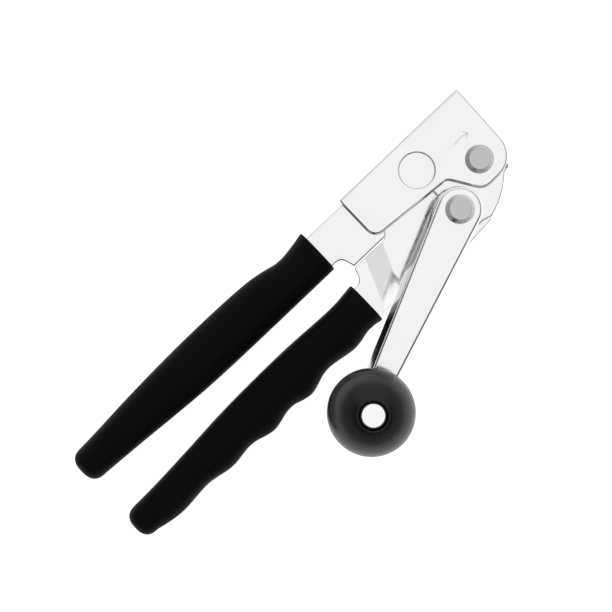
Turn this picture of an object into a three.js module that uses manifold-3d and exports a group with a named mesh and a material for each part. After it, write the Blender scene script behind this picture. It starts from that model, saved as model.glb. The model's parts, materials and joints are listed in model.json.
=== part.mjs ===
// Manual can opener with crossed handles, a geared cutter and a cranked feed wheel.
// Millimetres, +Z up. It lies on its back, crank side up: +X runs from the grips to the head, and the
// handles open in the XY plane. All sizes are taken from the handle pivot, with Z = 0 in the middle of
// the upper handle bar, and the finished group is moved so that its box stands on the origin.

import * as THREE from 'three';
import { mergeVertices } from 'three/addons/utils/BufferGeometryUtils.js';
import Module from 'manifold-3d';

const wasm = await Module();
wasm.setup();

// ---- driving dimensions ----------------------------------------------------------------------

// clearances
const layerGap = 0.3; // between plates that slide on each other, and at the handles' stop
const stackGap = 0.1; // between faces stacked on an axle
const runFit = 0.2; // radial, between turning pieces
const seatFit = 0.3; // around a bar in its grip

// sheet metal
const barThickness = 1.8;
const plateThickness = 1.6;
const pivotRadius = 7.4; // pressed boss of the handle pivot
const bossGap = 0.4; // between the two halves of the boss

// head
const headFront = 34.6;
const headBack = 31.4;
const headTop = 13.1;
const rimRoll = 3.0; // width of the rounded margin along the top of the front plate
const rimDrop = 0.35; // and how far it curves down
const noseRadius = 11.1; // front plate round the cutter
const jawRadius = headFront + 1.2; // edge of the upper bar's head, round the pivot
const driveLobe = 7.8; // upper bar round the drive bushing

// wheel centres, from the pivot
const cutterAt = new THREE.Vector2(headFront - 13.3, -14.1);
const driveAt = new THREE.Vector2(-0.5, -22.9);
const openAngle = 18; // degrees that the handles open

// handles and grips
const upperBarTop = 11.1;
const upperBarBottom = -10.7;
const lowerBarEdge = 36.3; // lowest edge of the lower bar, below the pivot
const gripFront = 51.3; // from the pivot to the grips' front faces
const gripLength = 130.5;
const gripThickness = 17.0;
const gripEnd = 6.0; // length of the rounded butt
const gripSquareness = 2.6; // superellipse power of the section and the butt
const tangLength = 99.0; // of each bar inside its grip
const tangWidth = 12.0;
const lowerTangTop = -19.5; // upper edge of the lower bar inside its grip
const stepRun = 9.3; // length of the lower bar's joggle
const stepAngle = 157.5; // direction of the joggle, in degrees from +X

// crank and knob
const crankLength = 85.6;
const crankAngle = 201.9; // direction of the crank at rest, in degrees from +X
const crankHubRadius = 9.9;
const crankTipRadius = 6.5;
const crankDepth = 8.0;
const crankSheet = 1.2;
const crankBend = 1.4; // outer bend radius of the channel
const crankHubSplay = 0.9; // how far the channel's sides lean out from top to bottom
const crankTipSplay = 1.8;
const crankRise = 10.5; // underside of the crank above the upper bar's middle
const knobRadius = 16.8;
const knobFlat = 5.6; // radius of the knob's flat foot
const knobWell = 5.5; // counterbore for the pin head
const knobPinRadius = 3.0; // where the knob turns on it
const knobPinNeck = 1.9; // where it is riveted through the crank

// shafts, wheels and fasteners
const shaftRadius = 4.0;
const squareSide = 1.4 * shaftRadius; // of the shaft where the gear and feed wheel sit
const axleRadius = 3.5;
const rivetRadius = 5.75;
const rivetFlat = 4.3;
const rivetHeight = 2.1;
const bushRadius = shaftRadius + 1.5;
const spacerRadius = axleRadius + 1.5;
const gearTeeth = 12;
const gearThickness = 2.8;
const gearAddendum = 1.25;
const gearDedendum = 1.75;
const gearBacklash = 0.75; // play at the pitch circle
const feedInset = 0.75; // from the gears' pitch circle to the feed wheel's rim
const feedTeeth = 30;
const feedThickness = 3.0;
const biteOverlap = 0.6; // radial overlap of cutter and feed wheel
const washerThickness = 0.6;
const nutHeight = 2.4;
const nutWidth = 10.0;

// ---- derived sizes ---------------------------------------------------------------------------

const barTop = barThickness / 2;
const barBack = -barTop;
const tangEnd = -gripFront - tangLength;
const upperTangTop = upperBarTop - 0.6;
const plateBack = barTop + layerGap;
const plateFront = plateBack + plateThickness;
const bossDepth = plateBack - bossGap / 2;
const lowerTop = barBack - layerGap;
const lowerBack = lowerTop - barThickness;
const wheelLine = cutterAt.clone().sub(driveAt);
const wheelDistance = wheelLine.length();
const pitchRadius = wheelDistance / 2;
const feedRadius = pitchRadius - feedInset;
const cutterRadius = wheelDistance - feedRadius + biteOverlap;
const crankTop = crankRise + crankDepth;
const crankWebBack = crankTop - crankSheet;
const threadRadius = squareSide / 2 - 0.1;

// levels of the wheel stack behind the lower bar, going back
const washerTop = lowerBack - stackGap;
const gearTop = washerTop - washerThickness - stackGap;
const gearBack = gearTop - gearThickness;
const feedTop = gearBack - stackGap;
const feedBack = feedTop - feedThickness;
const lockTop = feedBack - stackGap;
const nutTop = lockTop - washerThickness - stackGap;
const nutBack = nutTop - nutHeight;
const bladeTop = feedBack - layerGap;
const bladeBack = bladeTop - 1.6;

// ---- materials -------------------------------------------------------------------------------

function material(color, roughness, metalness) {
  return new THREE.MeshStandardMaterial({ color, roughness, metalness });
}

const polishedSteel = () => material(0xe6e7e8, 0.12, 1);
const satinSteel = () => material(0xa9aaab, 0.35, 1);
const hardSteel = () => material(0x8f9294, 0.3, 1);
const blackGrip = () => material(0x0c0c0d, 0.62, 0);
const blackKnob = () => material(0x0a0a0b, 0.3, 0);

// ---- geometry helpers ------------------------------------------------------------------------

const arcStep = THREE.MathUtils.degToRad(11);

function polar(radius, degrees) {
  const angle = THREE.MathUtils.degToRad(degrees);
  return [radius * Math.cos(angle), radius * Math.sin(angle)];
}

// Closed outline from its corners, anticlockwise. A corner is [x, y, fillet radius].
function outline(corners) {
  const points = [];
  corners.forEach(([x, y, radius = 0], i) => {
    const corner = new THREE.Vector2(x, y);
    const before = corners.at(i - 1);
    const after = corners[(i + 1) % corners.length];
    const back = new THREE.Vector2(before[0], before[1]).sub(corner).normalize();
    const ahead = new THREE.Vector2(after[0], after[1]).sub(corner).normalize();
    const half = Math.acos(THREE.MathUtils.clamp(back.dot(ahead), -1, 1)) / 2;
    const start = corner.clone().addScaledVector(back, radius / Math.tan(half));
    const inward = back.clone().add(ahead).normalize();
    const centre = corner.clone().addScaledVector(inward, radius / Math.sin(half));
    const turn = -Math.sign(back.cross(ahead)) * (Math.PI - 2 * half);
    const steps = radius > 0 ? Math.ceil(Math.abs(turn) / arcStep) : 0;
    points.push(start);
    for (let k = 1; k <= steps; k++) {
      points.push(start.clone().rotateAround(centre, (turn * k) / steps));
    }
  });
  return new THREE.Shape(points.filter((point, i) => point.distanceTo(points.at(i - 1)) > 0.02));
}

function circle(x, y, radius) {
  return new THREE.Path().absarc(x, y, radius, 0, 2 * Math.PI, true);
}

// Slot that follows an arc round the pivot, with round ends.
function arcSlot(centre, turnDegrees, halfWidth) {
  const radius = centre.length();
  const from = centre.angle();
  const to = from + THREE.MathUtils.degToRad(turnDegrees);
  const [low, high] = [Math.min(from, to), Math.max(from, to)];
  const path = new THREE.Path();
  path.absarc(0, 0, radius + halfWidth, low, high, false);
  path.absarc(radius * Math.cos(high), radius * Math.sin(high), halfWidth, high, high + Math.PI, false);
  path.absarc(0, 0, radius - halfWidth, high, low, true);
  path.absarc(radius * Math.cos(low), radius * Math.sin(low), halfWidth, low - Math.PI, low, false);
  return new THREE.Path(
    path.getPoints(6).filter((point, i, all) => point.distanceTo(all.at(i - 1)) > 0.02),
  );
}

function prism(shape, low, high) {
  const geometry = new THREE.ExtrudeGeometry(shape, {
    depth: high - low,
    bevelEnabled: false,
    curveSegments: 16,
  });
  return geometry.translate(0, 0, low);
}

// Solid of revolution about Z from a closed profile of [radius, z] points.
function turned(profile, segments = 32) {
  const points = [...profile, profile[0]].map(([radius, z]) => new THREE.Vector2(radius, z));
  return new THREE.LatheGeometry(points, segments).rotateX(Math.PI / 2);
}

function tube(inner, outer, low, high) {
  return turned([[inner, low], [outer, low], [outer, high], [inner, high]], 24);
}

const washer = (inner, outer, top) => tube(inner, outer, top - washerThickness, top);

// Sheet profile in (along, z), swept to both sides of a line across `direction` in the XY plane.
function sweptSheet(profile, direction, x, y) {
  const reach = 400;
  const along = new THREE.Vector3(direction.x, direction.y, 0).normalize();
  const up = new THREE.Vector3(0, 0, 1);
  const across = new THREE.Vector3().crossVectors(along, up);
  const basis = new THREE.Matrix4().makeBasis(along, up, across).setPosition(x, y, 0);
  return prism(profile, -reach, reach).applyMatrix4(basis);
}

// Closed solid from rings of equally many [x, y, z] points, with flat ends.
function skinned(rings) {
  const count = rings[0].length;
  const index = [];
  for (let row = 0; row < rings.length - 1; row++) {
    for (let k = 0; k < count; k++) {
      const [a, b] = [row * count + k, row * count + ((k + 1) % count)];
      index.push(a, b, a + count, b, b + count, a + count);
    }
  }
  const last = (rings.length - 1) * count;
  for (let k = 1; k < count - 1; k++) {
    index.push(0, k + 1, k, last, last + k, last + k + 1);
  }
  const geometry = new THREE.BufferGeometry();
  geometry.setAttribute('position', new THREE.Float32BufferAttribute(rings.flat(2), 3));
  geometry.setIndex(index);
  return geometry;
}

function signedVolume(geometry) {
  const flat = geometry.index ? geometry.toNonIndexed() : geometry;
  const at = flat.attributes.position;
  const [a, b, c] = [0, 1, 2].map(() => new THREE.Vector3());
  let volume = 0;
  for (let i = 0; i < at.count; i += 3) {
    a.fromBufferAttribute(at, i);
    b.fromBufferAttribute(at, i + 1);
    c.fromBufferAttribute(at, i + 2);
    volume += a.dot(b.cross(c)) / 6;
  }
  return volume;
}

// Merged, outward-facing copy that holds positions only.
function welded(geometry) {
  const merged = geometry.clone();
  merged.deleteAttribute('normal');
  merged.deleteAttribute('uv');
  const result = mergeVertices(merged, 1e-4);
  const index = Array.from(result.index.array);
  const flip = signedVolume(result) < 0;
  const kept = [];
  for (let i = 0; i < index.length; i += 3) {
    const [a, b, c] = index.slice(i, i + 3);
    if (a !== b && b !== c && c !== a) {
      kept.push(a, flip ? c : b, flip ? b : c);
    }
  }
  result.setIndex(kept);
  return result;
}

function solid(geometry) {
  const mesh = welded(geometry);
  return new wasm.Manifold(
    new wasm.Mesh({
      numProp: 3,
      vertProperties: new Float32Array(mesh.attributes.position.array),
      triVerts: new Uint32Array(mesh.index.array),
    }),
  );
}

function geometryOf(manifold) {
  const mesh = manifold.getMesh();
  const geometry = new THREE.BufferGeometry();
  geometry.setAttribute('position', new THREE.BufferAttribute(mesh.vertProperties, 3));
  geometry.setIndex(new THREE.BufferAttribute(mesh.triVerts, 1));
  return geometry;
}

function piece(group, name, geometry, finish) {
  const mesh = new THREE.Mesh(welded(geometry), finish());
  mesh.geometry.computeVertexNormals();
  mesh.name = name;
  group.add(mesh);
}

// ---- handle bars and front plate -------------------------------------------------------------

const boss = (radius, low, high) => solid(turned([[0, low], [radius, low], [radius, high], [0, high]]));

function frontPlate() {
  const noseBottom = cutterAt.y - 10.4;
  const noseFront = headFront - 1.2;
  const flat = outline([
    [-headBack, headTop, 1.2],
    [-headBack, -8.3, 5],
    [6.3, -11.3, 2.6],
    [cutterAt.x - 6.7, noseBottom, 6],
    [noseFront, noseBottom, noseRadius],
    [headFront, headTop, 0.8],
  ]);
  flat.holes.push(circle(cutterAt.x, cutterAt.y, axleRadius + runFit));
  const steps = 6;
  const roll = [];
  for (let k = steps; k >= 0; k--) {
    const along = k / steps;
    roll.push([headTop - rimRoll * (1 - along), plateFront - rimDrop * along ** 2]);
  }
  const section = outline([[-100, plateBack], [headTop, plateBack], ...roll, [-100, plateFront]]);
  const sheet = sweptSheet(section, new THREE.Vector2(0, 1), 0, 0);
  const plate = solid(prism(flat, plateBack - 1, plateFront + 1)).intersect(solid(sheet));
  const recess = boss(pivotRadius, plateFront - bossDepth, plateFront + 1);
  const spigot = boss(pivotRadius - runFit, plateBack - bossDepth, plateBack + 0.4);
  return geometryOf(plate.subtract(recess).add(spigot));
}

function upperHandleBar() {
  const tangBottom = upperTangTop - tangWidth;
  const [jawFrom, jawTo] = [-74.7, -34];
  const jawMid = (jawFrom + jawTo) / 2;
  const jawCorner = jawRadius / Math.cos(THREE.MathUtils.degToRad((jawTo - jawFrom) / 2));
  const lobeLeft = driveAt.x - driveLobe;
  const shape = outline([
    [tangEnd, upperTangTop, 3],
    [tangEnd, tangBottom, 3],
    [-gripFront - 6.7, tangBottom, 1],
    [-gripFront - 3.7, -4.6, 1],
    [4.5 - gripFront, -4.6, 3],
    [6.4 - gripFront, upperBarBottom, 0.5],
    [5.4 - headBack, upperBarBottom, 2.4],
    [5.4 - headBack, -8.0, 0.4],
    [-0.9, -10.2, 0.3],
    [-0.9, driveAt.y + driveLobe, 0.8],
    [lobeLeft, driveAt.y + driveLobe, driveLobe - 1.2],
    [lobeLeft, driveAt.y - 10.3, driveLobe],
    [5.5, -33.4, 0.6],
    [...polar(jawRadius, jawFrom), 0.4],
    [...polar(jawCorner, jawMid), jawRadius * 0.96],
    [...polar(jawRadius, jawTo), 2],
    [headFront - 1, -9, 8],
    [headFront - 1.6, 3, 4],
    [13, upperBarTop, 9],
    [-gripFront - 3.7, upperBarTop, 1],
    [-gripFront - 6.7, upperTangTop, 1],
  ]);
  shape.holes.push(circle(0, 0, pivotRadius));
  shape.holes.push(circle(driveAt.x, driveAt.y, bushRadius + runFit));
  shape.holes.push(arcSlot(cutterAt, openAngle + 1, spacerRadius + layerGap));
  return prism(shape, barBack, barTop);
}

function lowerHandleBar() {
  const tangBottom = lowerTangTop - tangWidth;
  const shoulder = upperBarBottom - layerGap;
  const noseBottom = cutterAt.y - 9.5;
  const noseFront = headFront - 3.4;
  const shape = outline([
    [tangEnd, lowerTangTop, 3],
    [tangEnd, tangBottom, 3],
    [-gripFront - 4.7, tangBottom, 1],
    [-gripFront - 1.7, -32.0, 1],
    [-3.7, -lowerBarEdge, 6],
    [9.0, 1.0 - lowerBarEdge, 0.8],
    [10.2, -30.5, 3],
    [cutterAt.x - 6.8, noseBottom, 5],
    [noseFront, noseBottom, 9.5],
    [noseFront, -1, 8],
    [16, 9.5, 8],
    [-12, 9.5, 9],
    [6.4 - headBack, 0, 6],
    [3.1 - headBack, shoulder, 0.4],
    [6.0 - gripFront, shoulder, 0.5],
    [4.0 - gripFront, -16.9, 3.5],
    [-gripFront - 2.7, -17.3, 1],
    [-gripFront - 5.7, lowerTangTop, 0.5],
  ]);
  shape.holes.push(circle(cutterAt.x, cutterAt.y, axleRadius + runFit));
  shape.holes.push(arcSlot(driveAt, -(openAngle + 1), shaftRadius + layerGap));
  const section = outline([
    [-200, lowerBack],
    [0, lowerBack, 5],
    [stepRun, barBack, 5],
    [300, barBack],
    [300, barTop],
    [stepRun, barTop, 5],
    [0, lowerTop, 5],
    [-200, lowerTop],
  ]);
  const direction = new THREE.Vector2(...polar(1, stepAngle));
  const sheet = sweptSheet(section, direction, 1.7 - headBack, -11.6);
  const bar = solid(prism(shape, lowerBack - 2, barTop + 2)).intersect(solid(sheet));
  const recess = boss(pivotRadius - 1.2, lowerBack - 1, lowerBack + bossDepth);
  const spigot = boss(pivotRadius - 1, lowerTop - 0.4, lowerTop + bossDepth);
  return geometryOf(bar.subtract(recess).add(spigot));
}

// ---- grips -----------------------------------------------------------------------------------

// Height of a smooth line through [fraction, height] points.
function heightAt(line, fraction) {
  const last = line.length - 2;
  const found = line.findIndex(([at]) => at > fraction) - 1;
  const i = THREE.MathUtils.clamp(found < 0 ? last : found, 0, last);
  const slope = (k) => {
    const [low, high] = [line[Math.max(k - 1, 0)], line[Math.min(k + 1, last + 1)]];
    return (high[1] - low[1]) / (high[0] - low[0]);
  };
  const span = line[i + 1][0] - line[i][0];
  const u = (fraction - line[i][0]) / span;
  const rise = line[i + 1][1] - line[i][1];
  const [from, to] = [slope(i) * span, slope(i + 1) * span];
  return line[i][1] + u * (from + u * (3 * rise - 2 * from - to + u * (from + to - 2 * rise)));
}

// Moulded grip: superellipse sections between an upper and a lower line, cut flat at the front.
function gripBody(upperLine, lowerLine) {
  const around = 20;
  const sections = 30;
  const stations = [];
  for (let k = 0; k <= sections; k++) {
    stations.push((k / sections) * (gripLength - gripEnd));
  }
  for (const along of [0.4, 0.7, 0.9, 0.98]) {
    stations.push(gripLength - gripEnd + gripEnd * along);
  }
  const power = 2 / gripSquareness;
  const rings = stations.map((station) => {
    const fraction = station / gripLength;
    const upper = heightAt(upperLine, fraction);
    const lower = heightAt(lowerLine, fraction);
    const intoEnd = Math.max(0, (station - gripLength + gripEnd) / gripEnd);
    const shrink = (1 - intoEnd ** gripSquareness) ** (1 / gripSquareness);
    const ring = [];
    for (let k = 0; k < around; k++) {
      const angle = (2 * Math.PI * k) / around;
      const [c, s] = [Math.cos(angle), Math.sin(angle)];
      ring.push([
        -gripFront - station,
        (upper + lower) / 2 + (shrink * (upper - lower) * Math.sign(c) * Math.abs(c) ** power) / 2,
        (shrink * gripThickness * Math.sign(s) * Math.abs(s) ** power) / 2,
      ]);
    }
    return ring;
  });
  return skinned(rings);
}

// Grip with a pocket that clears the bar inside it.
function grip(upperLine, lowerLine, tangLow, tangHigh, mouthLow, mouthHigh) {
  const halfPocket = barTop + seatFit;
  const pocketEnd = tangEnd - 1;
  const pocket = outline([
    [pocketEnd, tangHigh + seatFit, 3],
    [pocketEnd, tangLow - seatFit, 3],
    [-gripFront - 7.2, tangLow - seatFit],
    [-gripFront - 3.7, mouthLow - seatFit],
    [-gripFront + 1, mouthLow - seatFit],
    [-gripFront + 1, mouthHigh + seatFit],
    [-gripFront - 3.7, mouthHigh + seatFit],
    [-gripFront - 7.2, tangHigh + seatFit],
  ]);
  const body = solid(gripBody(upperLine, lowerLine));
  return geometryOf(body.subtract(solid(prism(pocket, -halfPocket, halfPocket))));
}

function upperGrip() {
  const upperLine = [
    [0, 14.0], [0.055, 12.6], [0.113, 11.9], [0.161, 13.2], [0.22, 14.5], [0.34, 15.2],
    [0.535, 15.2], [0.736, 14.2], [0.89, 12.9], [1, 12.2],
  ];
  const lowerLine = [[0, -5.9], [0.4, -5.8], [0.54, -5.4], [0.68, -4.3], [0.815, -3.0], [1, -1.6]];
  return grip(upperLine, lowerLine, upperTangTop - tangWidth, upperTangTop, -4.6, upperBarTop);
}

function lowerGrip() {
  const upperLine = [
    [0, -15.2], [0.09, -16.4], [0.277, -15.7], [0.424, -15.8], [0.575, -16.5], [0.73, -18.0],
    [0.884, -19.2], [1, -19.5],
  ];
  const lowerLine = [
    [0, -34.2], [0.05, -33.4], [0.12, -35.0], [0.233, -33.4], [0.32, -36.3], [0.395, -34.3],
    [0.48, -36.4], [0.56, -34.2], [0.65, -35.4], [0.74, -33.7], [0.867, -34.7], [1, -31.6],
  ];
  return grip(upperLine, lowerLine, lowerTangTop - tangWidth, lowerTangTop, -32.2, -17.1);
}

// ---- crank and knob --------------------------------------------------------------------------

// Points round a tapered link: two round ends and their tangent lines, along +X.
function taperedLink(hub, tip, length) {
  const lean = Math.acos((hub - tip) / length);
  const points = [];
  const steps = 16;
  for (let k = 0; k <= steps; k++) {
    const angle = lean + (2 * Math.PI - 2 * lean) * (k / steps);
    points.push([hub * Math.cos(angle), hub * Math.sin(angle)]);
  }
  for (let k = 0; k <= steps; k++) {
    const angle = -lean + 2 * lean * (k / steps);
    points.push([length + tip * Math.cos(angle), tip * Math.sin(angle)]);
  }
  return points;
}

// Link that narrows upwards by the splay and then by a rounded bend, from `low` to `top`.
function crankForm(inset, low, top) {
  const bend = crankBend - inset;
  const levels = [[low, (low - crankRise) / (crankDepth - crankBend), 0]];
  const steps = 4;
  for (let k = 0; k <= steps; k++) {
    const angle = (Math.PI / 2) * (k / steps);
    levels.push([top - bend + bend * Math.sin(angle), 1, bend * (1 - Math.cos(angle))]);
  }
  const rings = levels.map(([z, splayed, bent]) => {
    const hub = crankHubRadius - inset - bent - splayed * crankHubSplay;
    const tip = crankTipRadius - inset - bent - splayed * crankTipSplay;
    return taperedLink(hub, tip, crankLength).map(([x, y]) => [x, y, z]);
  });
  return skinned(rings);
}

function crankArm() {
  const outer = solid(crankForm(0, crankRise, crankTop));
  const inner = solid(crankForm(crankSheet, crankRise - 1, crankWebBack));
  const hubHole = boss(shaftRadius + runFit, crankRise, crankTop + 1);
  const pinHole = boss(knobPinNeck + runFit, crankRise, crankTop + 1).translate([crankLength, 0, 0]);
  return geometryOf(outer.subtract(inner).subtract(hubHole).subtract(pinHole));
}

const knobFoot = crankTop + stackGap + washerThickness + stackGap;
const knobCentre = knobFoot + Math.sqrt(knobRadius ** 2 - knobFlat ** 2);
const knobWellFloor = knobCentre + knobRadius - 4.5;

function knobBall() {
  const from = Math.asin(-(knobCentre - knobFoot) / knobRadius);
  const to = Math.acos(knobWell / knobRadius);
  const steps = 14;
  const arc = [];
  for (let k = 0; k <= steps; k++) {
    const angle = from + (to - from) * (k / steps);
    arc.push([knobRadius * Math.cos(angle), knobCentre + knobRadius * Math.sin(angle)]);
  }
  const bore = knobPinRadius + runFit;
  return turned([[bore, knobFoot], ...arc, [knobWell, knobWellFloor], [bore, knobWellFloor]], 32);
}

function knobPin() {
  const head = knobWell - 0.5;
  const headBase = knobWellFloor + stackGap;
  const headEnd = headBase + 2.6;
  const tailTop = crankWebBack - stackGap;
  const shoulder = crankTop + stackGap;
  const tail = crankTipRadius - crankTipSplay - crankBend - 0.4;
  return turned([
    [0, tailTop - 1.6], [tail - 0.8, tailTop - 1.6], [tail, tailTop - 0.6], [tail, tailTop],
    [knobPinNeck, tailTop], [knobPinNeck, shoulder], [knobPinRadius, shoulder],
    [knobPinRadius, headBase], [head, headBase],
    [head, headEnd - 0.6], [head - 0.7, headEnd], [0, headEnd],
  ], 24);
}

// ---- shafts, gears and wheels ----------------------------------------------------------------

function squareHole(side) {
  const half = side / 2;
  return new THREE.Path([
    new THREE.Vector2(-half, -half),
    new THREE.Vector2(-half, half),
    new THREE.Vector2(half, half),
    new THREE.Vector2(half, -half),
  ]);
}

function driveShaft() {
  const headBase = crankTop + stackGap;
  const collarBack = lowerTop;
  const round = solid(turned([
    [0, collarBack], [shaftRadius, collarBack], [shaftRadius, headBase], [rivetRadius, headBase],
    [rivetRadius, headBase + 0.7], [rivetFlat, headBase + rivetHeight], [0, headBase + rivetHeight],
  ]));
  const squareLength = collarBack - feedBack;
  const square = solid(
    new THREE.BoxGeometry(squareSide, squareSide, squareLength + 0.4)
      .translate(0, 0, collarBack - squareLength / 2 + 0.2),
  );
  const thread = boss(threadRadius, nutBack, feedBack + 0.4);
  return geometryOf(round.add(square).add(thread));
}

// Stub-toothed spur gear outline with a tooth pointing along `phase`.
function gearShape(phase) {
  const pitchAngle = (2 * Math.PI) / gearTeeth;
  const toothWidth = (pitchAngle * pitchRadius - gearBacklash) / 2;
  const root = pitchRadius - gearDedendum;
  const tip = pitchRadius + gearAddendum;
  const rootHalf = (toothWidth / 2 + 0.45 * gearDedendum) / root;
  const tipHalf = (toothWidth / 2 - 0.45 * gearAddendum) / tip;
  const pitchHalf = toothWidth / 2 / pitchRadius;
  const points = [];
  for (let tooth = 0; tooth < gearTeeth; tooth++) {
    const centre = phase + tooth * pitchAngle;
    for (const [radius, offset] of [
      [root, -rootHalf], [pitchRadius, -pitchHalf], [tip, -tipHalf],
      [tip, tipHalf], [pitchRadius, pitchHalf], [root, rootHalf],
    ]) {
      points.push(new THREE.Vector2(radius, 0).rotateAround(new THREE.Vector2(), centre + offset));
    }
  }
  return new THREE.Shape(points);
}

function driveGear() {
  const shape = gearShape(wheelLine.angle());
  shape.holes.push(squareHole(squareSide + 2 * runFit));
  return prism(shape, gearBack, gearTop);
}

function cutterGear() {
  const shape = gearShape(wheelLine.angle() + Math.PI + Math.PI / gearTeeth);
  shape.holes.push(circle(0, 0, axleRadius + runFit));
  return prism(shape, gearBack, gearTop);
}

// Feed wheel: a disc with saw teeth that grip the can's rim.
function feedWheel() {
  const toothDepth = 0.8;
  const points = [];
  for (let k = 0; k < feedTeeth; k++) {
    const angle = (2 * Math.PI * k) / feedTeeth;
    for (const [radius, offset] of [[feedRadius - toothDepth, 0], [feedRadius, 0.7]]) {
      const turn = angle + (offset * 2 * Math.PI) / feedTeeth;
      points.push(new THREE.Vector2(radius * Math.cos(turn), radius * Math.sin(turn)));
    }
  }
  const shape = new THREE.Shape(points);
  shape.holes.push(squareHole(squareSide + 2 * runFit));
  return prism(shape, feedBack, feedTop);
}

// Cutter: a hub that clears the feed wheel, and a disc with a ground edge just behind it.
function cutterWheel() {
  const bore = axleRadius + runFit;
  const hub = 7.5;
  return turned([
    [bore, bladeBack], [hub, bladeBack], [cutterRadius - 1.6, bladeTop - 0.9],
    [cutterRadius, bladeTop - 0.25], [cutterRadius, bladeTop], [hub + 1, bladeTop],
    [hub, bladeTop + 0.8], [hub, feedTop], [bore, feedTop],
  ], 40);
}

function cutterAxle() {
  const headBase = plateFront + stackGap;
  const tailTop = bladeBack - 2 * stackGap - washerThickness;
  return turned([
    [0, nutBack], [axleRadius + 0.7, nutBack], [axleRadius + 1.3, nutBack + 0.5],
    [axleRadius + 1.3, tailTop], [axleRadius, tailTop], [axleRadius, headBase],
    [rivetRadius, headBase], [rivetRadius, headBase + 0.7], [rivetFlat, headBase + rivetHeight],
    [0, headBase + rivetHeight],
  ]);
}

function driveBushing() {
  const flangeBase = barTop + stackGap;
  return turned([
    [shaftRadius + runFit, barBack - stackGap], [bushRadius, barBack - stackGap],
    [bushRadius, flangeBase], [driveLobe - 0.6, flangeBase], [driveLobe - 0.6, flangeBase + 1.2],
    [bushRadius, flangeBase + 1.2], [bushRadius, crankRise / 2], [shaftRadius + runFit, crankRise / 2],
  ]);
}

function hexNut() {
  const points = [];
  for (let k = 0; k < 6; k++) {
    points.push(new THREE.Vector2(...polar(nutWidth / Math.sqrt(3), 60 * k)));
  }
  const shape = new THREE.Shape(points);
  shape.holes.push(circle(0, 0, threadRadius + runFit));
  return prism(shape, nutBack, nutTop);
}

// ---- assembly --------------------------------------------------------------------------------

const opener = new THREE.Group();

const cutterSide = new THREE.Group(); // front plate, lower handle and cutter
opener.add(cutterSide);
piece(cutterSide, 'front_plate', frontPlate(), polishedSteel);
piece(cutterSide, 'lower_handle_bar', lowerHandleBar(), polishedSteel);
piece(cutterSide, 'lower_grip', lowerGrip(), blackGrip);

const cutter = new THREE.Group();
cutter.position.set(cutterAt.x, cutterAt.y, 0);
cutterSide.add(cutter);
const axleBore = axleRadius + runFit;
const axleSleeve = tube(axleBore, spacerRadius, lowerTop + stackGap, plateBack - stackGap);
piece(cutter, 'cutter_axle', cutterAxle(), satinSteel);
piece(cutter, 'cutter_spacer', axleSleeve, hardSteel);
piece(cutter, 'cutter_thrust_washer', washer(axleBore, 7, washerTop), satinSteel);
piece(cutter, 'cutter_gear', cutterGear(), hardSteel);
piece(cutter, 'cutter_wheel', cutterWheel(), hardSteel);
piece(cutter, 'cutter_end_washer', washer(axleBore, 6, bladeBack - stackGap), satinSteel);

const upperHandle = new THREE.Group(); // upper handle, which carries the drive
opener.add(upperHandle);
piece(upperHandle, 'upper_handle_bar', upperHandleBar(), polishedSteel);
piece(upperHandle, 'upper_grip', upperGrip(), blackGrip);

const drive = new THREE.Group();
drive.position.set(driveAt.x, driveAt.y, 0);
upperHandle.add(drive);
const shaftBore = shaftRadius + runFit;
const shaftSleeve = tube(shaftBore, bushRadius, crankRise / 2 + stackGap, crankWebBack - stackGap);
piece(drive, 'drive_bushing', driveBushing(), satinSteel);
piece(drive, 'drive_shaft', driveShaft(), satinSteel);
piece(drive, 'crank_spacer', shaftSleeve, satinSteel);
piece(drive, 'drive_thrust_washer', washer(shaftBore, 7, washerTop), satinSteel);
piece(drive, 'drive_gear', driveGear(), hardSteel);
piece(drive, 'feed_wheel', feedWheel(), hardSteel);
piece(drive, 'feed_lock_washer', washer(squareSide / 2 + runFit, 5.4, lockTop), satinSteel);
piece(drive, 'feed_nut', hexNut(), satinSteel);

const crank = new THREE.Group();
crank.rotation.z = THREE.MathUtils.degToRad(crankAngle);
drive.add(crank);
piece(crank, 'crank_arm', crankArm(), polishedSteel);

const knobAxis = new THREE.Group();
knobAxis.position.x = crankLength;
crank.add(knobAxis);
const knobWasher = washer(knobPinRadius + runFit, knobFlat, knobFoot - stackGap);
piece(knobAxis, 'knob_washer', knobWasher, satinSteel);
piece(knobAxis, 'knob_pin', knobPin(), polishedSteel);
piece(knobAxis, 'knob', knobBall(), blackKnob);

// Stand the box of the whole opener on the origin.
opener.updateMatrixWorld(true);
const box = new THREE.Box3().setFromObject(opener, true);
const middle = box.getCenter(new THREE.Vector3());
opener.position.set(-middle.x, -middle.y, -box.min.z);

export default opener;
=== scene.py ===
"""Looks of the manual can opener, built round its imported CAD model. Metres, in the CAD model's frame."""

import json
import math

import bmesh
import bpy
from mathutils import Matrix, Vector
from mathutils.geometry import tessellate_polygon


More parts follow.
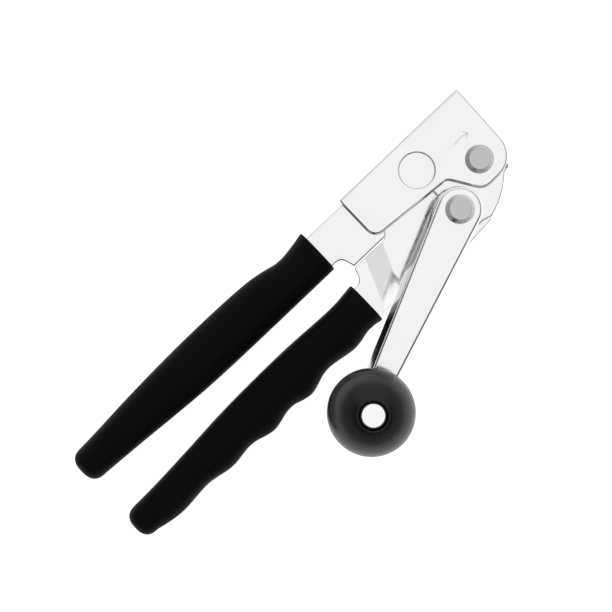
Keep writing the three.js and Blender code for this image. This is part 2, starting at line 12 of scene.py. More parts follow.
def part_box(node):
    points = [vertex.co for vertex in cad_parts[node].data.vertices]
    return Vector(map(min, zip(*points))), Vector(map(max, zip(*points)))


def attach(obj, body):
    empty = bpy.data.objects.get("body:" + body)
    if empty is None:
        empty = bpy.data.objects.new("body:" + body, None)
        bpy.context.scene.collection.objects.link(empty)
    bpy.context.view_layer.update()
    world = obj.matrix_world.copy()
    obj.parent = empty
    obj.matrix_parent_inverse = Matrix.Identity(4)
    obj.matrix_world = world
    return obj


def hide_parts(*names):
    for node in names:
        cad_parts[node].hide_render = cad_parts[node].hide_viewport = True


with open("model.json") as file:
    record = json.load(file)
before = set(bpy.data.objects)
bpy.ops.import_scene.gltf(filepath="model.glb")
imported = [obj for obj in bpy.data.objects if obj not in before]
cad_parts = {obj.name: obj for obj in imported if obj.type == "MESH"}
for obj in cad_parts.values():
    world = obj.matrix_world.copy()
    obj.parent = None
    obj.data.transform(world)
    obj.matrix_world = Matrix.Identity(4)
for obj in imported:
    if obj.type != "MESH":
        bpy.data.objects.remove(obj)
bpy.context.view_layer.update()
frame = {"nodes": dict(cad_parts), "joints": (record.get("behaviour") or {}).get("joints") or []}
joints = {joint["name"]: Vector(joint.get("pos_m", (0, 0, 0))) for joint in frame["joints"]}

MM = 0.001
PIVOT = joints["handle_pivot"]
CUTTER = joints["cutter_spin"]
DRIVE = joints["crank_spin"]
KNOB = joints["knob_spin"]
PLATE_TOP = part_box("front_plate")[1].z


# ---- camera, floor and light -----------------------------------------------------------------

CAMERA_HEIGHT = 0.500  # above the front plate
VIEW_WIDTH = 0.2466  # seen across the frame at the plate's height
CAMERA_ROLL = math.radians(-43.6)
CAMERA_AIM = PIVOT + Vector((-70.1, -8.8, 0)) * MM
FLOOR_GLOW = 0.85


def make_camera():
    data = bpy.data.cameras.new("camera")
    data.sensor_width = 36
    data.lens = data.sensor_width * CAMERA_HEIGHT / VIEW_WIDTH
    data.clip_start = 0.01
    camera = bpy.data.objects.new("camera", data)
    camera.location = (CAMERA_AIM.x, CAMERA_AIM.y, PLATE_TOP + CAMERA_HEIGHT)
    camera.rotation_euler = (0, 0, CAMERA_ROLL)
    bpy.context.scene.collection.objects.link(camera)
    bpy.context.scene.camera = camera


def make_floor():
    """Plain pale floor, the same to the camera and in the steel."""
    half = 4.0
    mesh = bpy.data.meshes.new("floor")
    corners = [(-half, -half, 0), (half, -half, 0), (half, half, 0), (-half, half, 0)]
    mesh.from_pydata(corners, [], [(0, 1, 2, 3)])
    floor = bpy.data.objects.new("floor", mesh)
    floor.location.z = -0.0002
    bpy.context.scene.collection.objects.link(floor)
    material = bpy.data.materials.new("floor_white")
    material.use_nodes = True
    shader = material.node_tree.nodes["Principled BSDF"]
    shader.inputs["Base Color"].default_value = (0.9, 0.9, 0.9, 1)
    shader.inputs["Roughness"].default_value = 1.0
    shader.inputs["Specular IOR Level"].default_value = 0.0
    shader.inputs["Emission Color"].default_value = (1, 1, 1, 1)
    shader.inputs["Emission Strength"].default_value = FLOOR_GLOW
    mesh.materials.append(material)


def direction(azimuth, elevation):
    """Unit vector towards a place in the sky, in degrees."""
    a, e = math.radians(azimuth), math.radians(elevation)
    return Vector((math.cos(a) * math.cos(e), math.sin(a) * math.cos(e), math.sin(e)))


# soft boxes: where each one hangs, its inner and outer half angle, and its brightness. The last is
# the studio's pale walls, all round below it.
SOFT_BOXES = [
    (direction(0, 90), 19, 24, 1.0),
    (direction(-20, 64), 16, 22, 0.8),
    (direction(46, 38), 31, 51, 0.75),
    (direction(-150, 14), 8, 20, 0.3),
    (direction(0, -90), 118, 130, 0.42),
]
SKY_FILL = 0.02


def make_world():
    """A soft studio: an overhead box that flat steel reflects from above, pale walls that it reflects
    from the sides, and a darker ceiling between them that draws its edges. The camera itself sees
    plain white behind the floor."""
    world = bpy.data.worlds.new("studio")
    bpy.context.scene.world = world
    world.use_nodes = True
    nodes, links = world.node_tree.nodes, world.node_tree.links
    nodes.clear()
    output = nodes.new("ShaderNodeOutputWorld")
    background = nodes.new("ShaderNodeBackground")
    coordinates = nodes.new("ShaderNodeTexCoord")
    path = nodes.new("ShaderNodeLightPath")
    total = None
    for towards, inner, outer, value in SOFT_BOXES:
        facing = nodes.new("ShaderNodeVectorMath")
        facing.operation = "DOT_PRODUCT"
        facing.inputs[1].default_value = towards
        links.new(coordinates.outputs["Generated"], facing.inputs[0])
        edge = nodes.new("ShaderNodeMapRange")
        edge.interpolation_type = "SMOOTHSTEP"
        edge.inputs["From Min"].default_value = math.cos(math.radians(outer))
        edge.inputs["From Max"].default_value = math.cos(math.radians(inner))
        edge.inputs["To Min"].default_value = SKY_FILL
        edge.inputs["To Max"].default_value = value
        links.new(facing.outputs["Value"], edge.inputs["Value"])
        if total:
            brighter = nodes.new("ShaderNodeMath")
            brighter.operation = "MAXIMUM"
            links.new(total, brighter.inputs[0])
            links.new(edge.outputs["Result"], brighter.inputs[1])
            total = brighter.outputs[0]
        else:
            total = edge.outputs["Result"]
    mix = nodes.new("ShaderNodeMix")
    mix.data_type = "FLOAT"
    links.new(path.outputs["Is Camera Ray"], mix.inputs["Factor"])
    links.new(total, mix.inputs["A"])
    mix.inputs["B"].default_value = 1.0
    links.new(mix.outputs["Result"], background.inputs["Color"])
    background.inputs["Strength"].default_value = 1.0
    links.new(background.outputs[0], output.inputs["Surface"])


# ---- materials -------------------------------------------------------------------------------


class Recipe:
    """A node material being built: a Principled shader and short helpers for its inputs."""

    def __init__(self, name, base, roughness, metallic=0.0):
        self.material = bpy.data.materials.new(name)
        self.material.use_nodes = True
        self.nodes = self.material.node_tree.nodes
        self.links = self.material.node_tree.links
        self.shader = self.nodes["Principled BSDF"]
        self.shader.inputs["Base Color"].default_value = (*base, 1)
        self.shader.inputs["Roughness"].default_value = roughness
        self.shader.inputs["Metallic"].default_value = metallic
        self.last_bump = None

    def coordinates(self, scale=(1, 1, 1), centre=(0, 0, 0)):
        source = self.nodes.new("ShaderNodeTexCoord")
        shift = self.nodes.new("ShaderNodeVectorMath")
        shift.operation = "SUBTRACT"
        shift.inputs[1].default_value = centre
        stretch = self.nodes.new("ShaderNodeVectorMath")
        stretch.operation = "MULTIPLY"
        stretch.inputs[1].default_value = scale
        self.links.new(source.outputs["Object"], shift.inputs[0])
        self.links.new(shift.outputs[0], stretch.inputs[0])
        return stretch.outputs[0]

    def noise(self, vector, scale, detail=3.0, roughness=0.55):
        node = self.nodes.new("ShaderNodeTexNoise")
        node.inputs["Scale"].default_value = scale
        node.inputs["Detail"].default_value = detail
        node.inputs["Roughness"].default_value = roughness
        self.links.new(vector, node.inputs["Vector"])
        return node.outputs["Fac"]

    def rings(self, vector, scale, distortion=0.4):
        node = self.nodes.new("ShaderNodeTexWave")
        node.wave_type = "RINGS"
        node.rings_direction = "Z"
        node.inputs["Scale"].default_value = scale
        node.inputs["Distortion"].default_value = distortion
        node.inputs["Detail"].default_value = 2.0
        self.links.new(vector, node.inputs["Vector"])
        return node.outputs["Fac"]

    def cells(self, vector, scale):
        node = self.nodes.new("ShaderNodeTexVoronoi")
        node.feature = "SMOOTH_F1"
        node.inputs["Scale"].default_value = scale
        self.links.new(vector, node.inputs["Vector"])
        return node.outputs["Distance"]

    def between(self, factor, low, high):
        node = self.nodes.new("ShaderNodeMapRange")
        node.inputs["From Min"].default_value = 0.3
        node.inputs["From Max"].default_value = 0.7
        node.inputs["To Min"].default_value = low
        node.inputs["To Max"].default_value = high
        self.links.new(factor, node.inputs["Value"])
        return node.outputs["Result"]

    def tint(self, factor, low, high):
        node = self.nodes.new("ShaderNodeMix")
        node.data_type = "RGBA"
        node.inputs["A"].default_value = (*low, 1)
        node.inputs["B"].default_value = (*high, 1)
        self.links.new(factor, node.inputs["Factor"])
        self.links.new(node.outputs["Result"], self.shader.inputs["Base Color"])

    def rough(self, factor, low, high):
        self.links.new(self.between(factor, low, high), self.shader.inputs["Roughness"])

    def bump(self, height, depth_mm, strength=1.0):
        node = self.nodes.new("ShaderNodeBump")
        node.inputs["Strength"].default_value = strength
        node.inputs["Distance"].default_value = depth_mm * MM
        self.links.new(height, node.inputs["Height"])
        if self.last_bump:
            self.links.new(self.last_bump, node.inputs["Normal"])
        self.last_bump = node.outputs["Normal"]
        self.links.new(self.last_bump, self.shader.inputs["Normal"])


def polished_steel(name, along, sheen=0.07):
    """Plated sheet steel: nearly a mirror, with faint polishing lines along one direction."""
    recipe = Recipe(name, (0.88, 0.882, 0.884), 0.1, 1.0)
    turned = recipe.nodes.new("ShaderNodeVectorRotate")
    turned.rotation_type = "Z_AXIS"
    turned.inputs["Angle"].default_value = -math.atan2(along.y, along.x)
    recipe.links.new(recipe.coordinates(), turned.inputs["Vector"])
    stretch = recipe.nodes.new("ShaderNodeVectorMath")
    stretch.operation = "MULTIPLY"
    stretch.inputs[1].default_value = (0.03, 1, 1)
    recipe.links.new(turned.outputs[0], stretch.inputs[0])
    streaks = recipe.noise(stretch.outputs[0], 2600, 4)
    clouds = recipe.noise(recipe.coordinates(), 60, 3)
    recipe.tint(clouds, (0.85, 0.852, 0.854), (0.92, 0.922, 0.924))
    recipe.rough(streaks, sheen, sheen + 0.09)
    recipe.bump(streaks, 0.002)
    recipe.bump(clouds, 0.03)
    return recipe.material


def turned_steel(name, centre, base, roughness):
    """Satin steel with turning rings round an axis."""
    recipe = Recipe(name, base, roughness, 1.0)
    vector = recipe.coordinates(centre=tuple(centre))
    rings = recipe.rings(vector, 420)
    grain = recipe.noise(vector, 1800, 4)
    recipe.tint(grain, [0.9 * c for c in base], [1.08 * c for c in base])
    recipe.rough(grain, roughness - 0.07, roughness + 0.1)
    recipe.bump(rings, 0.002)
    recipe.bump(grain, 0.002)
    return recipe.material


def ground_steel(name):
    """Hardened wheel steel, darker, with grinding grain and a little staining."""
    recipe = Recipe(name, (0.36, 0.37, 0.38), 0.3, 1.0)
    vector = recipe.coordinates()
    grain = recipe.noise(recipe.coordinates((1, 0.15, 1)), 2200, 4)
    stain = recipe.noise(vector, 180, 5, 0.65)
    recipe.tint(stain, (0.27, 0.275, 0.28), (0.46, 0.465, 0.47))
    recipe.rough(grain, 0.22, 0.42)
    recipe.bump(grain, 0.008)
    return recipe.material


def black_grip(name):
    """Soft moulded grip: matte black with a fine spark-eroded texture."""
    recipe = Recipe(name, (0.004, 0.004, 0.0045), 0.6)
    recipe.shader.inputs["Specular IOR Level"].default_value = 0.09
    vector = recipe.coordinates()
    stipple = recipe.cells(vector, 1500)
    handling = recipe.noise(vector, 55, 4)
    recipe.tint(handling, (0.0032, 0.0032, 0.0036), (0.0062, 0.0062, 0.0068))
    recipe.rough(handling, 0.52, 0.68)
    recipe.bump(stipple, 0.05, 0.6)
    recipe.bump(recipe.noise(vector, 700, 3), 0.03, 0.5)
    return recipe.material


def black_knob(name):
    """Satin moulded plastic with a faint ripple and fine wear."""
    recipe = Recipe(name, (0.004, 0.004, 0.0045), 0.3)
    recipe.shader.inputs["Specular IOR Level"].default_value = 0.4
    vector = recipe.coordinates()
    ripple = recipe.noise(vector, 160, 2)
    wear = recipe.noise(vector, 900, 5, 0.7)
    recipe.tint(wear, (0.0034, 0.0034, 0.0038), (0.0065, 0.0065, 0.007))
    recipe.rough(wear, 0.24, 0.38)
    recipe.bump(ripple, 0.03, 0.5)
    return recipe.material


CRANK_DIRECTION = (KNOB - DRIVE).normalized()
SHEET = polished_steel("polished_steel_sheet", Vector((1, 0, 0)))
CRANK_STEEL = polished_steel("polished_steel_crank", CRANK_DIRECTION)
RIVET_GREY = (0.56, 0.562, 0.564)
DRIVE_STEEL = turned_steel("satin_steel_drive", DRIVE, RIVET_GREY, 0.24)
CUTTER_STEEL = turned_steel("satin_steel_cutter", CUTTER, RIVET_GREY, 0.24)
KNOB_STEEL = turned_steel("satin_steel_knob", KNOB, (0.95, 0.95, 0.95), 0.16)
WHEEL_STEEL = ground_steel("ground_steel")
GRIP = black_grip("black_grip")
PLASTIC = black_knob("black_knob")


# ---- mesh helpers ----------------------------------------------------------------------------


def add_piece(name, mesh, body, material, replaces=()):
    obj = bpy.data.objects.new(name, mesh)
    bpy.context.scene.collection.objects.link(obj)
    mesh.materials.clear()
    mesh.materials.append(material)
    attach(obj, body)
    if replaces:
        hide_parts(*replaces)
    return obj


def shade(mesh, sharp_degrees=35):
    """Smooth shading that stays sharp over edges steeper than the angle."""
    work = bmesh.new()
    work.from_mesh(mesh)
    limit = math.radians(sharp_degrees)
    for face in work.faces:
        face.smooth = True
    for edge in work.edges:
        edge.smooth = len(edge.link_faces) == 2 and edge.calc_face_angle(0) < limit
    work.to_mesh(mesh)
    work.free()


def baked(obj):
    """Replace an object's mesh by what its modifiers make of it."""
    graph = bpy.context.evaluated_depsgraph_get()
    mesh = bpy.data.meshes.new_from_object(obj.evaluated_get(graph))
    obj.modifiers.clear()
    obj.data = mesh
    return obj


def sharp_edges(work, keep=lambda middle: True):
    found = []
    for edge in work.edges:
        if len(edge.link_faces) == 2 and edge.calc_face_angle(0) > math.radians(30):
            if keep((edge.verts[0].co + edge.verts[1].co) / 2):
                found.append(edge)
    return found


def round_edges(work, edges, width_mm, segments):
    if edges:
        bmesh.ops.bevel(
            work, geom=edges, offset=width_mm * MM, offset_type="OFFSET", segments=segments,
            profile=0.5, affect="EDGES", clamp_overlap=False, miter_outer="ARC",
        )


def refined(node, body, material, edge_mm, segments=3, rim_mm=0, on_rim=None):
    """A copy of a CAD node with its flat faces joined and its edges rounded: those on the rim by
    rim_mm, and the others by edge_mm. It stays inside the node's own box."""
    mesh = frame["nodes"][node].data.copy()
    work = bmesh.new()
    work.from_mesh(mesh)
    bmesh.ops.remove_doubles(work, verts=work.verts, dist=0.002 * MM)
    bmesh.ops.dissolve_limit(
        work,
        angle_limit=math.radians(0.5),
        verts=work.verts,
        edges=work.edges,
    )
    if rim_mm:
        round_edges(work, sharp_edges(work, on_rim), rim_mm, segments + 2)
        remaining = sharp_edges(work, lambda middle: not on_rim(middle))
    else:
        remaining = sharp_edges(work)
    round_edges(work, remaining, edge_mm, segments)
    low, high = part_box(node)
    for vert in work.verts:
        vert.co = Vector(min(max(c, a), b) for c, a, b in zip(vert.co, low, high))
    work.to_mesh(mesh)
    work.free()
    shade(mesh, 40)
    return weighted(add_piece(node + "_fine", mesh, body, material, [node]))


def sheet_loops(node):
    """Outline and holes of a CAD sheet, read from its underside: lists of 2D points, the outline
    first and anticlockwise, the holes clockwise."""
    work = bmesh.new()
    work.from_mesh(frame["nodes"][node].data)
    bmesh.ops.remove_doubles(work, verts=work.verts, dist=0.002 * MM)
    work.normal_update()
    ahead = {}
    for edge in work.edges:
        under = [face for face in edge.link_faces if face.normal.z < -0.5]
        if len(under) == 1 and len(edge.link_faces) == 2:
            for loop in under[0].loops:
                if loop.edge == edge:
                    ahead[loop.vert] = loop.link_loop_next.vert
    loops = []
    while ahead:
        vert = min(ahead, key=lambda item: item.index)
        points = []
        while vert in ahead:
            points.append(vert)
            vert = ahead.pop(vert)
        loops.append(points)
    flat = []
    for points in loops:
        line = [Vector(vert.co.xy) for vert in reversed(points)]
        line = [p for i, p in enumerate(line) if (p - line[i - 1]).length > 0.03 * MM]
        area = sum(a.x * b.y - b.x * a.y for a, b in zip(line, line[1:] + line[:1])) / 2
        flat.append((area, line))
    work.free()
    holes = sorted((area, line) for area, line in flat if area < 0)
    return [max(flat)[1]] + [line for area, line in holes]


def inward(line, distance):
    """A loop moved to its own left by a distance. Sides that would turn over are dropped, and the
    points at their ends become the one point where the sides beyond them meet."""
    count = len(line)
    sides = [(line[(i + 1) % count] - line[i]).normalized() for i in range(count)]

    def corner(first, last):
        before, after = sides[first - 1], sides[last]
        start = line[first] + Vector((-before.y, before.x)) * distance
        end = line[last] + Vector((-after.y, after.x)) * distance
        turn = before.x * after.y - before.y * after.x
        if abs(turn) < 0.02:
            return (start + end) / 2
        gap = end - start
        return start + before * (gap.x * after.y - gap.y * after.x) / turn

    groups = [(i, i) for i in range(count)]
    folded = True
    while folded and len(groups) > 3:
        places = [corner(first, last) for first, last in groups]
        folded = False
        for i in range(len(groups) - 1):
            if (places[i + 1] - places[i]).dot(sides[groups[i][1]]) < 0:
                groups[i : i + 2] = [(groups[i][0], groups[i + 1][1])]
                folded = True
                break
    moved = [None] * count
    for first, last in groups:
        moved[first : last + 1] = [corner(first, last)] * (last + 1 - first)
    return moved


def sheet_mesh(name, loops, low, high, over_mm, under_mm, folds=(), lift=None):
    """Flat sheet between two levels with rounded upper and lower edges. `folds` are the planes it is
    then divided along, and `lift` the height added at a point."""
    work = bmesh.new()
    steps = 5
    margin = 0.05 * MM  # flat ring between a rounded edge and the long triangles of the face
    levels = [(under_mm * MM + margin, low)]
    for k in range(steps + 1):
        t = k / steps * math.pi / 2
        levels.append((under_mm * MM * (1 - math.sin(t)), low + under_mm * MM * (1 - math.cos(t))))
    for k in range(steps + 1):
        t = k / steps * math.pi / 2
        levels.append((over_mm * MM * (1 - math.cos(t)), high - over_mm * MM * (1 - math.sin(t))))
    levels.append((over_mm * MM + margin, high))
    stacks = []
    for line in loops:
        rings = []
        for distance, z in levels:
            ring, last = [], None
            for point in inward(line, distance):
                if last is None or (point - last).length > 1e-8:
                    vert = work.verts.new((point.x, point.y, z))
                ring.append(vert)
                last = point
            rings.append(ring)
        for one, two in zip(rings, rings[1:]):
            for k in range(len(line)):
                n = (k + 1) % len(line)
                corners = list(dict.fromkeys((one[k], one[n], two[n], two[k])))
                if len(corners) > 2:
                    work.faces.new(corners)
        stacks.append(rings)
    for side in (0, -1):
        edge_rings = [list(dict.fromkeys(rings[side])) for rings in stacks]
        corners = [vert for ring in edge_rings for vert in ring]
        for corner in tessellate_polygon([[vert.co for vert in ring] for ring in edge_rings]):
            work.faces.new([corners[i] for i in corner])
    bmesh.ops.recalc_face_normals(work, faces=work.faces)
    for place, normal in folds:
        geometry = list(work.verts) + list(work.edges) + list(work.faces)
        bmesh.ops.bisect_plane(work, geom=geometry, dist=1e-7, plane_co=place, plane_no=normal)
    bmesh.ops.dissolve_degenerate(work, dist=1e-7, edges=work.edges)
    if lift:
        for vert in work.verts:
            vert.co.z += lift(vert.co)
    mesh = bpy.data.meshes.new(name)
    work.to_mesh(mesh)
    work.free()
    shade(mesh, 40)
    return mesh


def weighted(obj):
    """Normals that follow the large flat faces and leave the rounding to the small ones."""
    normals = obj.modifiers.new("normals", "WEIGHTED_NORMAL")
    normals.keep_sharp = True
    normals.weight = 100
    return baked(obj)


def rounded(profile, fillet_mm, closed, steps=4):
    """A profile of (radius, z) points with its corners rounded as far as their sides allow."""
    points = [Vector(point) for point in profile]
    result = []
    for i, corner in enumerate(points):
        if not closed and i in (0, len(points) - 1):
            result.append(corner)
            continue
        back = points[i - 1] - corner
        ahead = points[(i + 1) % len(points)] - corner
        half = back.angle(ahead) / 2
        if half > math.radians(80):
            result.append(corner)
            continue
        reach = min(fillet_mm * MM / math.tan(half), 0.4 * back.length, 0.4 * ahead.length)
        start, end = corner + back.normalized() * reach, corner + ahead.normalized() * reach
        for k in range(steps + 1):
            t = k / steps
            result.append(start * (1 - t) ** 2 + corner * 2 * t * (1 - t) + end * t**2)
    return result


def spin(name, profile, centre, closed, segments=96):
    """Mesh of revolution round a vertical axis through a point."""
    work = bmesh.new()
    rings = []
    for radius, z in profile:
        if radius < 1e-6:
            rings.append([work.verts.new((centre.x, centre.y, z))])
            continue
        ring = []
        for k in range(segments):
            angle = 2 * math.pi * k / segments
            x, y = centre.x + radius * math.cos(angle), centre.y + radius * math.sin(angle)
            ring.append(work.verts.new((x, y, z)))
        rings.append(ring)
    for low, high in zip(rings, rings[1:] + (rings[:1] if closed else [])):
        for k in range(segments):
            n = (k + 1) % segments
            corners = [low[k % len(low)], low[n % len(low)], high[n % len(high)], high[k % len(high)]]
            corners = list(dict.fromkeys(corners))
            if len(corners) > 2:
                work.faces.new(corners)
    bmesh.ops.recalc_face_normals(work, faces=work.faces)
    mesh = bpy.data.meshes.new(name)
    work.to_mesh(mesh)
    work.free()
    shade(mesh, 50)
    return mesh


def cad_profile(node, centre):
    """The (radius, z) line of a turned CAD node, and whether it is closed: it is read along one of
    the node's own meridians."""
    work = bmesh.new()
    work.from_mesh(frame["nodes"][node].data)
    bmesh.ops.remove_doubles(work, verts=work.verts, dist=0.002 * MM)
    work.verts.index_update()
    work.verts.ensure_lookup_table()
    axis = Vector((centre.x, centre.y, 0))
    widest = max(work.verts, key=lambda vert: (vert.co - axis).xy.length)
    outward = (widest.co - axis).xy.normalized()

    def radius(vert):
        return (vert.co - axis).xy.length

    def on_side(vert):
        offset = (vert.co - axis).xy
        return offset.length < 0.05 * MM or offset.normalized().dot(outward) > math.cos(0.02)

    links = {}
    for edge in work.edges:
        first, second = edge.verts
        if on_side(first) and on_side(second):
            links.setdefault(first.index, []).append(second.index)
            links.setdefault(second.index, []).append(first.index)
    ends = sorted(index for index, near in links.items() if len(near) == 1)
    here = ends[0] if ends else min(links)
    walk = [here]
    while True:
        ahead = [index for index in links[here] if index not in walk]
        if not ahead:
            break
        here = ahead[0]
        walk.append(here)
    line = []
    for index in walk:
        vert = work.verts[index]
        line.append((radius(vert) if radius(vert) > 0.05 * MM else 0.0, vert.co.z))
    work.free()
    return line, not ends


def spun(node, body, material, fillet_mm, centre, segments=96):
    """A turned CAD node made again with a finer surface and rounded edges."""
    line, closed = cad_profile(node, centre)
    mesh = spin(node + "_fine", rounded(line, fillet_mm, closed), centre, closed, segments)
    return weighted(add_piece(node + "_fine", mesh, body, material, [node]))


# ---- pieces ----------------------------------------------------------------------------------


def away_from_holes(point):
    return all((point - hole).xy.length > 8.6 * MM for hole in (PIVOT, DRIVE, CUTTER))


def upper_rim(node):
    """Test for the upper edges of a sheet's outline, but not of its holes."""
    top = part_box(node)[1].z
    return lambda point: point.z > top - 0.5 * MM and away_from_holes(point)


def make_sheet_metal():
    plate_rim = upper_rim("front_plate")
    refined("front_plate", "cutter_side", SHEET, 0.3, 3, 1.05, plate_rim)
    refined("crank_arm", "drive", CRANK_STEEL, 0.2)
    make_upper_bar()
    make_lower_bar()


def make_upper_bar():
    node = "upper_handle_bar"
    low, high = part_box(node)
    mesh = sheet_mesh(node + "_fine", sheet_loops(node), low.z, high.z, 0.7, 0.3)
    weighted(add_piece(node + "_fine", mesh, "upper_handle", SHEET, [node]))


def make_lower_bar():
    """The lower bar with its joggle, and the pressed plug of the pivot's rear half."""
    node = "lower_handle_bar"
    thickness, rise, run, bend = 1.8 * MM, 2.1 * MM, 9.3 * MM, 1.5 * MM
    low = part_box(node)[0].z
    along = direction(157.5, 0)
    start = PIVOT + Vector((-29.7, -11.6, 0)) * MM

    def turned_up(distance):
        return 0.0 if distance < -bend / 2 else min(distance + bend / 2, bend) ** 2 / (2 * bend) + max(
            0.0, distance - bend / 2
        )

    def lift(point):
        distance = (point - start).dot(along)
        return (turned_up(distance) - turned_up(distance - run)) * rise / run

    folds = []
    for middle in (0.0, run):
        for k in range(7):
            folds.append((start + along * (middle + bend * (k / 6 - 0.5)), along))
    loops = sheet_loops(node)
    mesh = sheet_mesh(node + "_fine", loops, low, low + thickness, 0.45, 0.3, folds, lift)
    weighted(add_piece(node + "_fine", mesh, "cutter_side", SHEET, [node]))
    plug = [
        (0, low + MM), (6.3 * MM, low + MM), (6.3 * MM, low + thickness + MM), (0, low + thickness + MM),
    ]
    mesh = spin("pivot_plug", rounded(plug, 0.3, False), PIVOT, False)
    add_piece("pivot_plug", mesh, "cutter_side", SHEET)


def make_turn_arrow():
    """Raised arrow round the cutter, pressed up out of the plate: it shows which way to turn."""
    width, height, sunk = 0.42, 0.09, 0.05
    arc = [math.radians(106 - k) for k in range(0, 37, 2)]
    centre = Vector((CUTTER.x, CUTTER.y, PLATE_TOP))
    work = bmesh.new()

    def ridge(path):
        """Low ridge with a rounded top along a list of points in the plate's plane."""
        rows = []
        for i, point in enumerate(path):
            ahead = path[min(i + 1, len(path) - 1)] - path[max(i - 1, 0)]
            side = Vector((-ahead.y, ahead.x, 0)).normalized()
            row = []
            for step in (-1, -0.6, 0, 0.6, 1):
                lift = height * math.sqrt(max(0.0, 1 - step * step)) if abs(step) < 1 else -sunk
                row.append(work.verts.new(point + (side * step * width / 2 + Vector((0, 0, lift))) * MM))
            rows.append(row)
        for low, high in zip(rows, rows[1:]):
            for k in range(4):
                work.faces.new((low[k], high[k], high[k + 1], low[k + 1]))
            work.faces.new((low[4], high[4], high[0], low[0]))
        work.faces.new(rows[0])
        work.faces.new(reversed(rows[-1]))

    def on_arc(angle, radius=11.5):
        return centre + Vector((math.cos(angle), math.sin(angle), 0)) * radius * MM

    ridge([on_arc(angle) for angle in arc])
    tip = on_arc(arc[-1])
    for radius, angle in ((13.0, 77.5), (10.0, 78.5)):
        ridge([tip, on_arc(math.radians(angle), radius)])
    bmesh.ops.recalc_face_normals(work, faces=work.faces)
    mesh = bpy.data.meshes.new("turn_arrow")
    work.to_mesh(mesh)
    work.free()
    shade(mesh, 50)
    add_piece("turn_arrow", mesh, "cutter_side", SHEET)


def make_drive_shaft():
    """The shaft's riveted round part, and the square and the thread that carry gear and wheel."""
    low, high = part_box("drive_shaft")
    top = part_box("crank_arm")[1].z
    rivet, shank, square = 5.75 * MM, 4.0 * MM, 5.6 * MM
    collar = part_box("drive_thrust_washer")[1].z + 1.9 * MM
    profile = [
        (0, collar), (shank, collar), (shank, top + 0.1 * MM), (rivet, top + 0.1 * MM),
        (rivet, top + 0.8 * MM), (4.3 * MM, high.z), (0, high.z),
    ]
    mesh = spin("drive_shaft_fine", rounded(profile, 0.22, False), DRIVE, False)
    weighted(
        add_piece("drive_shaft_fine", mesh, "drive", DRIVE_STEEL, ["drive_shaft"])
    )
    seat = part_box("feed_wheel")[0].z
    work = bmesh.new()
    bmesh.ops.create_cube(work, size=1.0)
    for vert in work.verts:
        vert.co = Vector((vert.co.x * square, vert.co.y * square, vert.co.z * (collar - seat)))
        vert.co += Vector((DRIVE.x, DRIVE.y, (collar + seat) / 2))
    bmesh.ops.bevel(
        work, geom=list(work.edges), offset=0.2 * MM, segments=3, profile=0.5, affect="EDGES"
    )
    mesh = bpy.data.meshes.new("drive_square")
    work.to_mesh(mesh)
    work.free()
    shade(mesh, 40)
    add_piece("drive_square", mesh, "drive", DRIVE_STEEL)
    core, crest, pitch = 2.35 * MM, 2.68 * MM, 0.8 * MM
    profile = [(0, low.z), (core - 0.3 * MM, low.z), (core, low.z + 0.3 * MM)]
    level = low.z + 0.3 * MM
    while level + pitch < seat:
        profile += [(crest, level + 0.35 * pitch), (crest, level + 0.55 * pitch), (core, level + pitch)]
        level += pitch
    profile += [(core, seat + 0.2 * MM), (0, seat + 0.2 * MM)]
    mesh = spin("drive_thread", rounded(profile, 0.05, False, 2), DRIVE, False)
    add_piece("drive_thread", mesh, "drive", DRIVE_STEEL)


def make_fasteners():
    for node, body, material, centre, fillet_mm in [
        ("crank_spacer", "drive", DRIVE_STEEL, DRIVE, 0.2),
        ("drive_thrust_washer", "drive", DRIVE_STEEL, DRIVE, 0.15),
        ("feed_lock_washer", "drive", DRIVE_STEEL, DRIVE, 0.15),
        ("drive_bushing", "upper_handle", DRIVE_STEEL, DRIVE, 0.2),
        ("cutter_axle", "cutter_side", CUTTER_STEEL, CUTTER, 0.22),
        ("cutter_end_washer", "cutter_side", CUTTER_STEEL, CUTTER, 0.15),
        ("cutter_thrust_washer", "cutter", CUTTER_STEEL, CUTTER, 0.15),
        ("knob_washer", "drive", KNOB_STEEL, KNOB, 0.15),
    ]:
        spun(node, body, material, fillet_mm, centre)
    spun("cutter_spacer", "cutter_side", WHEEL_STEEL, 0.15, CUTTER)
    spun("knob_pin", "drive", KNOB_STEEL, 0.35, KNOB)
    refined("feed_nut", "drive", DRIVE_STEEL, 0.25)
    make_drive_shaft()


def make_wheels():
    refined("drive_gear", "drive", WHEEL_STEEL, 0.18)
    refined("feed_wheel", "drive", WHEEL_STEEL, 0.12)
    refined("cutter_gear", "cutter", WHEEL_STEEL, 0.18)
    spun("cutter_wheel", "cutter", WHEEL_STEEL, 0.06, CUTTER, 128)


GRIP_FRONT = PIVOT.x - 51.3 * MM
GRIP_SQUARENESS = 2.6  # superellipse power of the sections and the butt
SEAM_DEPTH = 0.14 * MM
LIP = 0.7 * MM


def grip_lines(node):
    """The grip's upper and lower lines, from the front back: [x, low y, high y] at each section."""
    columns = {}
    for vert in frame["nodes"][node].data.vertices:
        column = columns.setdefault(round(vert.co.x / MM, 2), ([], []))
        column[abs(vert.co.z - PIVOT.z) > 0.5 * MM].append(vert.co.y)
    lines = [(x * MM, min(ys), max(ys)) for x, (ys, rest) in columns.items() if ys and len(rest) > 9]
    return sorted(lines, reverse=True)


def between_lines(lines, x):
    """Smooth low and high y at x, through the sections on both sides of it."""
    i = next((k for k in range(len(lines) - 1) if lines[k + 1][0] <= x), len(lines) - 2)
    t = (x - lines[i][0]) / (lines[i + 1][0] - lines[i][0])
    result = []
    for side in (1, 2):
        a, b, c, d = (lines[min(max(i + k, 0), len(lines) - 1)][side] for k in (-1, 0, 1, 2))
        square, cube = 2 * a - 5 * b + 4 * c - d, 3 * b - a - 3 * c + d
        result.append(0.5 * (2 * b + (c - a) * t + square * t**2 + cube * t**3))
    return result


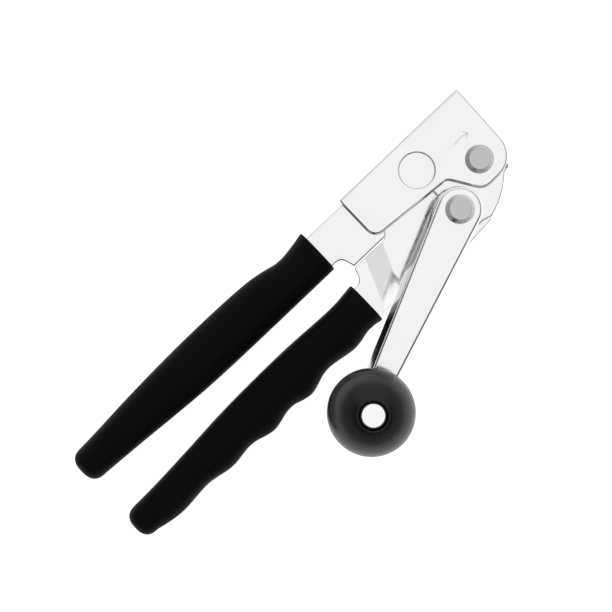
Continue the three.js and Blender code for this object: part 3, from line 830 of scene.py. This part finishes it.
def make_grip(node, body, tang, mouth):
    """Moulded grip with a rounded front lip, a parting line along both sides and a tang pocket."""
    lines = grip_lines(node)
    low_box, high_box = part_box(node)
    middle, half = PIVOT.z, (high_box.z - low_box.z) / 2
    power = 2 / GRIP_SQUARENESS
    back = lines[-5][0]
    angles = [k * 5.0 for k in range(72)] + [0.6, 1.6, 178.4, 179.4, 180.6, 181.6, 358.4, 359.4]
    angles = sorted(math.radians(angle) for angle in angles)
    stations = []
    for t in (0, 0.3, 0.7, 1.1):
        stations.append((lines[0][0] - LIP * (1 - math.cos(t)), LIP * (1 - math.sin(t))))
    count = 110
    for k in range(count + 1):
        stations.append((lines[0][0] - LIP - (lines[0][0] - LIP - back) * k / count, 0.0))
    butt = back - low_box.x
    front_of_butt = between_lines(lines[:-4], back)
    for k in range(1, 14):
        t = math.sin(k / 14 * math.pi / 2)
        stations.append((back - butt * t, None))
    work = bmesh.new()
    rings = []
    for x, inset in stations:
        if inset is None:
            t = (back - x) / butt
            scale = (1 - t**GRIP_SQUARENESS) ** (1 / GRIP_SQUARENESS)
            low, high = front_of_butt
            inset = 0.0
        else:
            scale = 1.0
            low, high = between_lines(lines[:-4], min(x, lines[0][0]))
        ring = []
        for angle in angles:
            c, s = math.cos(angle), math.sin(angle)
            y = math.copysign(abs(c) ** power, c) * ((high - low) / 2 * scale - inset)
            z = math.copysign(abs(s) ** power, s) * (half * scale - inset)
            if abs(s) < 1e-6:
                y -= math.copysign(SEAM_DEPTH * scale, c)
            y = min(max((low + high) / 2 + y, low_box.y), high_box.y)
            ring.append(work.verts.new((x, y, middle + z)))
        rings.append(ring)
    for one, two in zip(rings, rings[1:]):
        for k in range(len(angles)):
            n = (k + 1) % len(angles)
            work.faces.new((one[k], one[n], two[n], two[k]))
    work.faces.new(rings[0])
    work.faces.new(reversed(rings[-1]))
    bmesh.ops.recalc_face_normals(work, faces=work.faces)
    mesh = bpy.data.meshes.new(node + "_fine")
    work.to_mesh(mesh)
    work.free()
    obj = add_piece(node + "_fine", mesh, body, GRIP, [node])
    tools = []
    for (low, high), front, rear in ((tang, -6.9, -100.3), (mouth, 1.0, -7.0)):
        work = bmesh.new()
        bmesh.ops.create_cube(work, size=1.0)
        for vert in work.verts:
            x = GRIP_FRONT + (front if vert.co.x > 0 else rear) * MM
            y = PIVOT.y + (high + 0.3 if vert.co.y > 0 else low - 0.3) * MM
            vert.co = Vector((x, y, middle + vert.co.z * 2.4 * MM))
        tool_mesh = bpy.data.meshes.new("pocket")
        work.to_mesh(tool_mesh)
        work.free()
        tool = bpy.data.objects.new("pocket", tool_mesh)
        bpy.context.scene.collection.objects.link(tool)
        tools.append(tool)
        cut = obj.modifiers.new("pocket", "BOOLEAN")
        cut.object = tool
        cut.operation = "DIFFERENCE"
        cut.solver = "EXACT"
        baked(obj)
    for tool in tools:
        bpy.data.objects.remove(tool)
    shade(obj.data, 50)


def make_plastics():
    make_grip("upper_grip", "upper_handle", (-1.5, 10.5), (-4.6, 11.1))
    make_grip("lower_grip", "cutter_side", (-31.5, -19.5), (-32.2, -17.1))
    spun("knob", "knob", PLASTIC, 0.6, KNOB, 144)


make_camera()
make_floor()
make_world()
make_sheet_metal()
make_turn_arrow()
make_fasteners()
make_wheels()
make_plastics()

bpy.context.scene.view_settings.view_transform = "Standard"
